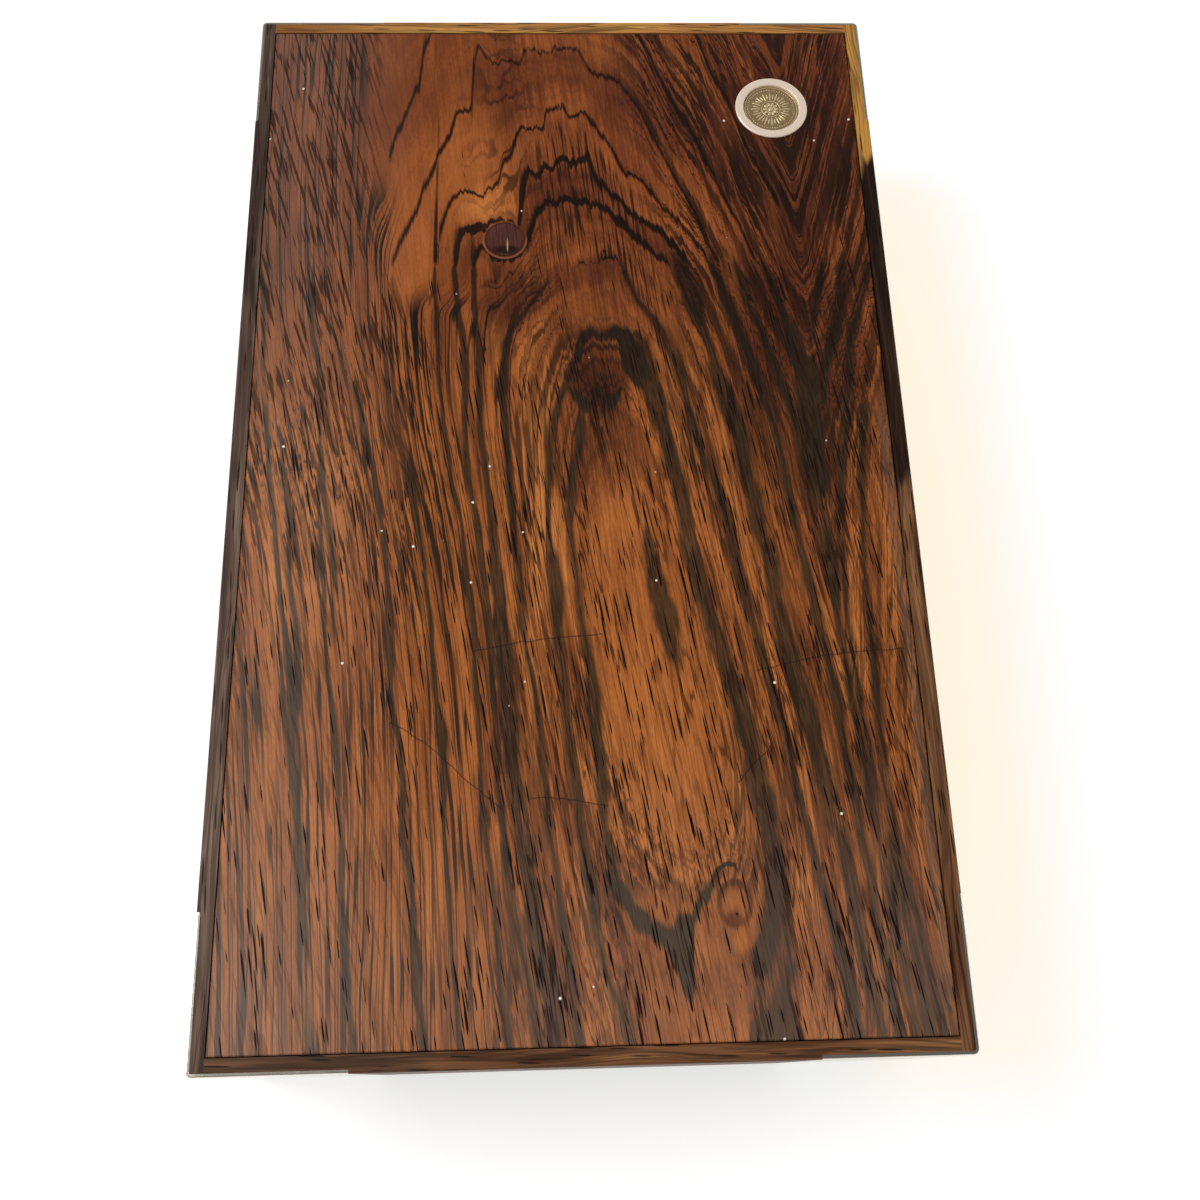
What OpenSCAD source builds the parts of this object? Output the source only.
// Rosewood glove box: a closed carcass of rebated boards, sawn through into a base
// and a lid, with silver plates let in flush round its corners and two small brass
// hinges sunk in a bevelled back edge. The bevels meet and stop the open lid.
//
// Millimetres. X runs across the box, from the hinged back to the front, Y runs
// along it, and Z is up. The origin is the centre of the face that it rests on.

/* [Box] */
// Width over all, from back to front
box_w = 140; // [110:1:180]
// Length over all
box_l = 232; // [180:1:300]
// Height over all with the lid closed
box_h = 52; // [44:1:90]
// Height of the lid's rails
lid_h = 14; // [13.5:0.5:20]
// Thickness of the walls and rails
wall_t = 8; // [8:0.1:11]
// Edge of a wall that shows beside a panel, and the tongue of a corner joint
lip_t = 3.2; // [2.6:0.1:4]
// Rounding of the outer arris round the top and the bottom
arris_r = 0.3; // [0.1:0.05:0.5]
// Shadow line between the base and the lid
seam_gap = 0.3; // [0.2:0.05:0.5]

/* [Panels] */
// Thickness of the lid panel and the bottom panel
panel_t = 5; // [4:0.1:6]
// Gap round a panel, for the wood to move in
panel_gap = 0.2; // [0.1:0.05:0.4]
// Width of the eased edge round a panel's outer face
panel_ease = 0.25; // [0.1:0.05:0.5]

/* [Silver plates] */
// Reach of a corner plate along each wall
plate_reach = 28.3; // [16:0.1:32]
// Thickness of the silver sheet
plate_t = 0.7; // [0.5:0.1:1]
// Outer bend radius of a corner plate
plate_bend = 1.2; // [1.1:0.1:2.5]

/* [Medal] */
// Outside diameter of the medal's ring
medal_d = 16.6; // [12:0.1:20]
// Width of the ring round the brass disc
ring_w = 1.9; // [1.2:0.1:2.4]
// Depth of the medal's seat in the lid panel
seat_depth = 1.6; // [1.2:0.1:2.5]
// Height by which the ring stands proud of the panel
ring_proud = 0.35; // [0.1:0.05:0.6]
// Depth of the disc's face below the top of the ring
disc_sunk = 0.55; // [0.3:0.05:0.9]
// Distance from the front of the box to the medal's centre
medal_from_front = 22.4; // [15:0.1:40]
// Distance from the far end of the box to the medal's centre
medal_from_end = 25; // [15:0.1:60]
// Rays struck on the disc
ray_count = 24; // [12:2:36]
// Height of the struck relief
relief_h = 0.18; // [0.1:0.02:0.25]

/* [Hinges] */
// Length of a hinge
hinge_l = 32; // [24:1:36]
// Distance from an end of the box to the middle of a hinge
hinge_from_end = 56; // [52:1:70]
// Distance of the hinge pin in from the back of the box
pin_in = 2.6; // [2.3:0.05:2.7]
// Diameter of the hinge barrel
barrel_d = 3.8; // [3.4:0.1:3.8]
// Diameter of the hinge pin
pin_d = 1.6; // [1.2:0.1:1.8]
// Radial play of the pin in the lid's knuckles
pin_play = 0.05; // [0.02:0.01:0.1]
// Knuckles on a hinge, counting both leaves
knuckle_count = 5; // [3:2:7]
// Gap between two knuckles
knuckle_gap = 0.15; // [0.1:0.05:0.3]
// Thickness of a leaf
leaf_t = 1.1; // [0.8:0.1:1.4]
// Distance of a leaf's long edge back from the inside of the wall
leaf_back = 0.2; // [0.1:0.05:0.3]
// Play at the ends of a leaf in its mortise
mortise_play = 0.1; // [0.05:0.05:0.2]
// Clearance round the barrel in the wood, and round a knuckle in the other leaf
barrel_clear = 0.3; // [0.25:0.05:0.35]
// Angle at which the lid is stopped
lid_open = 100; // [92:1:110]
// Angle left between the two bevels when the lid is fully open
bevel_play = 1; // [0.5:0.5:3]

/* [Screws] */
// Screws in a leaf
screw_count = 3; // [2:1:4]
// Diameter of a screw's head
head_d = 2.5; // [2.2:0.1:2.6]
// Diameter of a screw's shank
shank_d = 1.3; // [1:0.1:1.5]
// Length of a screw
screw_l = 6; // [4:0.5:7]
// Width of the slot in a screw's head
slot_w = 0.4; // [0.3:0.05:0.6]

/* [Hidden] */
$fn = 64;

ROSEWOOD = [0.33, 0.17, 0.10];
DARK_ROSEWOOD = [0.22, 0.13, 0.09];
SILVER = [0.86, 0.85, 0.81];
BRASS = [0.80, 0.65, 0.33];
PALE_METAL = [0.88, 0.84, 0.78];

// A cut runs this far past the face that it starts from.
past = 1;
base_h = box_h - lid_h - seam_gap;
// The pin's axis, from the box's middle plane and from a rim.
pin_x = -box_w / 2 + pin_in;
pin_z = -seam_gap / 2;
barrel_r = barrel_d / 2;
// A leaf reaches from the pin's axis almost to the inside of the wall.
leaf_w = wall_t - pin_in - leaf_back;
bevel_angle = (lid_open + bevel_play) / 2;
knuckle_l = (hinge_l - (knuckle_count - 1) * knuckle_gap) / knuckle_count;
// Where a leaf's flat starts, clear of the other leaf's knuckles.
flat_start = barrel_r + barrel_clear;
screw_x = (flat_start + leaf_w) / 2;
screw_pitch = hinge_l / screw_count;
head_h = (head_d - shank_d) / 2;
tip_l = 1.2;
tip_d = 0.2;
slot_depth = 0.4;
// Play round a screw and round the pin where they sit fast, on the diameter.
screw_play = 0.1;
pin_fit = 0.02;
first_slot = 35;
slot_turn = 50;
hinge_y = box_l / 2 - hinge_from_end;
medal_x = box_w / 2 - medal_from_front;
medal_y = box_l / 2 - medal_from_end;
disc_d = medal_d - 2 * ring_w;
seat_play = 0.05;
disc_play = 0.05;
ring_round = 0.3;

// The base and the lid are sawn from one carcass, so each board is drawn once, for
// either half, with the sawn rim at z = 0 and the panel h above it.
module as_base() {
    translate([0, 0, base_h])
        mirror([0, 0, 1])
            children();
}

module as_lid() {
    translate([0, 0, base_h + seam_gap])
        children();
}

// What rounding by radius r takes off a corner at the origin whose material lies
// in the first quadrant.
module corner_waste(r) {
    difference() {
        translate([-past, -past])
            square(r + past);
        translate([r, r])
            circle(r);
    }
}

// Section of a wall: x inward from the outer face, y up from the rim.
module wall_section(h) {
    difference() {
        square([wall_t, h]);
        translate([lip_t, h - panel_t])
            square([wall_t, panel_t + past]);
        translate([0, h])
            rotate(-90)
                corner_waste(arris_r);
    }
}

module rail(length, h) {
    rotate([90, 0, 0])
        linear_extrude(length, center = true)
            wall_section(h);
}

// A long wall at the back of the box. Its ends are rebated to a tongue that
// covers the end grain of the end walls.
module long_wall(h) {
    difference() {
        translate([-box_w / 2, 0, 0])
            rail(box_l, h);
        for (side = [0, 1])
            mirror([0, side, 0])
                translate([-box_w / 2 + lip_t, box_l / 2 - wall_t, -past])
                    cube([wall_t, wall_t + past, h + 2 * past]);
        plates(h);
    }
}

module front_wall(h) {
    mirror([1, 0, 0])
        long_wall(h);
}

// The bevel along the back edge starts at the pin's axis.
module back_bevel() {
    reach = pin_in + past;
    translate([pin_x, 0, pin_z])
        rotate([90, 0, 0])
            linear_extrude(box_l + 2 * past, center = true)
                polygon([[0, 0], [-reach, 0], [-reach, reach * tan(bevel_angle)]]);
}

module back_wall(h) {
    difference() {
        long_wall(h);
        back_bevel();
        for (side = [-1, 1])
            translate([pin_x, side * hinge_y, 0])
                hinge_mortise();
    }
}

// An end wall at the near end of the box, let in between the tongues.
module end_wall(h) {
    length = box_w - 2 * lip_t;
    difference() {
        translate([0, -box_l / 2, 0])
            rotate(90)
                mirror([0, 1, 0])
                    rail(length, h);
        plates(h);
    }
}

module far_wall(h) {
    mirror([0, 1, 0])
        end_wall(h);
}

// A panel's four outer edges are eased by a small chamfer.
module panel(h) {
    width = box_w - 2 * (lip_t + panel_gap);
    length = box_l - 2 * (lip_t + panel_gap);
    translate([0, 0, h - panel_t])
        difference() {
            translate([-width / 2, -length / 2, 0])
                cube([width, length, panel_t]);
            for (side = [-1, 1]) {
                translate([side * width / 2, 0, panel_t])
                    rotate([90, 0, 0])
                        ease_bar(length);
                translate([0, side * length / 2, panel_t])
                    rotate([90, 0, 90])
                        ease_bar(width);
            }
        }
}

module ease_bar(length) {
    rotate(45)
        linear_extrude(length + 2 * past, center = true)
            square(panel_ease * sqrt(2), center = true);
}

// Section of a corner plate: x outward from its inner face, y up from the rim.
module plate_section(h) {
    difference() {
        square([plate_t, h]);
        translate([plate_t, h])
            rotate(180)
                corner_waste(arris_r);
    }
}

// A corner plate at the corner where x and y are positive: two legs and a bend.
module corner_plate(h) {
    leg = plate_reach - plate_bend;
    inner = plate_bend - plate_t;
    translate([box_w / 2 - plate_bend, box_l / 2 - plate_bend, 0]) {
        rotate_extrude(angle = 90)
            translate([inner, 0])
                plate_section(h);
        translate([inner, 0, 0])
            rotate([90, 0, 0])
                linear_extrude(leg)
                    plate_section(h);
        mirror([1, -1, 0])
            translate([inner, 0, 0])
                rotate([90, 0, 0])
                    linear_extrude(leg)
                        plate_section(h);
    }
}

// The plate at the corner that the signs of x and y name. The back ones end at
// the bevel.
module plate(h, x_sign, y_sign) {
    difference() {
        scale([x_sign, y_sign, 1])
            corner_plate(h);
        if (x_sign < 0)
            back_bevel();
    }
}

// All that the silver takes up on the carcass, as the recess for it.
module plates(h) {
    leg = plate_reach - plate_bend;
    inner = plate_bend - plate_t;
    for (x_sign = [-1, 1], y_sign = [-1, 1])
        scale([x_sign, y_sign, 1])
            translate([box_w / 2 - plate_bend, box_l / 2 - plate_bend, -past])
                difference() {
                    translate([-leg, -leg, 0])
                        cube([leg + plate_bend + past, leg + plate_bend + past, h + 2 * past]);
                    translate([-leg - past, -leg - past, -past])
                        cube([leg + past + inner, leg + past, h + 4 * past]);
                    translate([-leg - past, -leg - past, -past])
                        cube([leg + past, leg + past + inner, h + 4 * past]);
                    translate([0, 0, -past])
                        cylinder(h + 4 * past, r = inner);
                }
}

// A hinge lies along Y with the pin's axis at x = 0, z = pin_z and a rim at z = 0.
function knuckle_y(k) = -hinge_l / 2 + k * (knuckle_l + knuckle_gap);
function screw_y(k) = (k - (screw_count - 1) / 2) * screw_pitch;

module along_pin(d, from_y, length) {
    translate([0, from_y, pin_z])
        rotate([-90, 0, 0])
            cylinder(length, d = d);
}

// Every second knuckle belongs to one leaf, counting from first.
module leaf(first, bore_d) {
    difference() {
        union() {
            translate([flat_start, -hinge_l / 2, 0])
                cube([leaf_w - flat_start, hinge_l, leaf_t]);
            for (k = [first : 2 : knuckle_count - 1]) {
                along_pin(barrel_d, knuckle_y(k), knuckle_l);
                translate([0, knuckle_y(k), 0])
                    cube([flat_start + past / 2, knuckle_l, leaf_t]);
            }
        }
        along_pin(bore_d, -hinge_l / 2 - past, hinge_l + 2 * past);
        for (k = [0 : screw_count - 1])
            translate([screw_x, screw_y(k), 0])
                screw_hole();
    }
}

module screw_hole() {
    translate([0, 0, -past])
        cylinder(leaf_t + 2 * past, d = shank_d + screw_play);
    cylinder(head_h, d1 = head_d + screw_play, d2 = shank_d + screw_play);
}

// A countersunk screw with its slotted head at the rim.
module screw() {
    difference() {
        union() {
            cylinder(head_h, d1 = head_d, d2 = shank_d);
            cylinder(screw_l - tip_l, d = shank_d);
            translate([0, 0, screw_l - tip_l])
                cylinder(tip_l, d1 = shank_d, d2 = tip_d);
        }
        translate([-head_d, -slot_w / 2, -past])
            cube([2 * head_d, slot_w, past + slot_depth]);
    }
}

module screws() {
    for (k = [0 : screw_count - 1])
        translate([screw_x, screw_y(k), 0])
            rotate(first_slot + slot_turn * k)
                screw();
}

// What a hinge takes out of the back wall: the leaf's mortise, open to the inside,
// the barrel's cove and the screws' holes.
module hinge_mortise() {
    length = hinge_l + 2 * mortise_play;
    translate([0, -length / 2, -past])
        cube([leaf_w + leaf_back + past, length, past + leaf_t]);
    along_pin(barrel_d + 2 * barrel_clear, -length / 2, length);
    for (k = [0 : screw_count - 1])
        translate([screw_x, screw_y(k), 0])
            cylinder(screw_l + screw_play, d = shank_d + screw_play);
}

module at_hinge(y_sign) {
    translate([pin_x, y_sign * hinge_y, 0])
        children();
}

module base_leaf(y_sign) {
    as_base()
        at_hinge(y_sign)
            leaf(0, pin_d + pin_fit);
}

module lid_leaf(y_sign) {
    as_lid()
        at_hinge(y_sign)
            leaf(1, pin_d + 2 * pin_play);
}

module pin(y_sign) {
    as_lid()
        at_hinge(y_sign)
            along_pin(pin_d, -hinge_l / 2, hinge_l);
}

// The lid panel has a round seat for the medal.
module lid_board() {
    difference() {
        as_lid()
            panel(lid_h);
        translate([medal_x, medal_y, box_h - seat_depth])
            cylinder(seat_depth + past, d = medal_d + 2 * seat_play);
    }
}

module medal_ring() {
    height = seat_depth + ring_proud;
    translate([medal_x, medal_y, box_h - seat_depth])
        rotate_extrude()
            difference() {
                translate([disc_d / 2, 0])
                    square([(medal_d - disc_d) / 2, height]);
                translate([medal_d / 2, height])
                    rotate(180)
                        corner_waste(ring_round);
                translate([disc_d / 2, height])
                    rotate(-90)
                        corner_waste(ring_round);
            }
}

// A coin-like disc: a low rim, a boss and a ring of struck rays.
module medal_disc() {
    disc_r = disc_d / 2 - disc_play;
    ground = seat_depth + ring_proud - disc_sunk - relief_h;
    boss_r = 0.22 * disc_r;
    rim_w = 0.09 * disc_r;
    translate([medal_x, medal_y, box_h - seat_depth]) {
        cylinder(ground, r = disc_r);
        cylinder(ground + relief_h, r = boss_r);
        rotate_extrude()
            translate([disc_r - rim_w, 0])
                square([rim_w, ground + relief_h]);
        for (k = [0 : ray_count - 1])
            rotate(k * 360 / ray_count)
                ray(boss_r * 1.5, disc_r * (k % 2 == 0 ? 0.82 : 0.66), ground);
    }
}

// A ray that widens outward, between two radii.
module ray(from_r, to_r, ground) {
    half_turn = 90 / ray_count;
    linear_extrude(ground + relief_h)
        polygon([
            [from_r, -from_r * tan(half_turn)],
            [to_r, -to_r * tan(half_turn)],
            [to_r, to_r * tan(half_turn)],
            [from_r, from_r * tan(half_turn)]
        ]);
}

color(DARK_ROSEWOOD) as_base() front_wall(base_h);  // base_front_wall
color(DARK_ROSEWOOD) as_base() back_wall(base_h);  // base_back_wall
color(ROSEWOOD) as_base() end_wall(base_h);  // base_near_wall
color(ROSEWOOD) as_base() far_wall(base_h);  // base_far_wall
color(ROSEWOOD) as_base() panel(base_h);  // bottom_panel
color(SILVER) as_base() plate(base_h, 1, -1);  // base_plate_front_near
color(SILVER) as_base() plate(base_h, 1, 1);  // base_plate_front_far
color(SILVER) as_base() plate(base_h, -1, -1);  // base_plate_back_near
color(SILVER) as_base() plate(base_h, -1, 1);  // base_plate_back_far
color(DARK_ROSEWOOD) as_lid() front_wall(lid_h);  // lid_front_rail
color(DARK_ROSEWOOD) as_lid() back_wall(lid_h);  // lid_back_rail
color(ROSEWOOD) as_lid() end_wall(lid_h);  // lid_near_rail
color(ROSEWOOD) as_lid() far_wall(lid_h);  // lid_far_rail
color(ROSEWOOD) lid_board();  // lid_panel
color(SILVER) as_lid() plate(lid_h, 1, -1);  // lid_plate_front_near
color(SILVER) as_lid() plate(lid_h, 1, 1);  // lid_plate_front_far
color(SILVER) as_lid() plate(lid_h, -1, -1);  // lid_plate_back_near
color(SILVER) as_lid() plate(lid_h, -1, 1);  // lid_plate_back_far
color(PALE_METAL) medal_ring();
color(BRASS) medal_disc();
color(BRASS) base_leaf(-1);  // near_hinge_base_leaf
color(BRASS) lid_leaf(-1);  // near_hinge_lid_leaf
color(BRASS) pin(-1);  // near_hinge_pin
color(BRASS) as_base() at_hinge(-1) screws();  // near_hinge_base_screws
color(BRASS) as_lid() at_hinge(-1) screws();  // near_hinge_lid_screws
color(BRASS) base_leaf(1);  // far_hinge_base_leaf
color(BRASS) lid_leaf(1);  // far_hinge_lid_leaf
color(BRASS) pin(1);  // far_hinge_pin
color(BRASS) as_base() at_hinge(1) screws();  // far_hinge_base_screws
color(BRASS) as_lid() at_hinge(1) screws();  // far_hinge_lid_screws
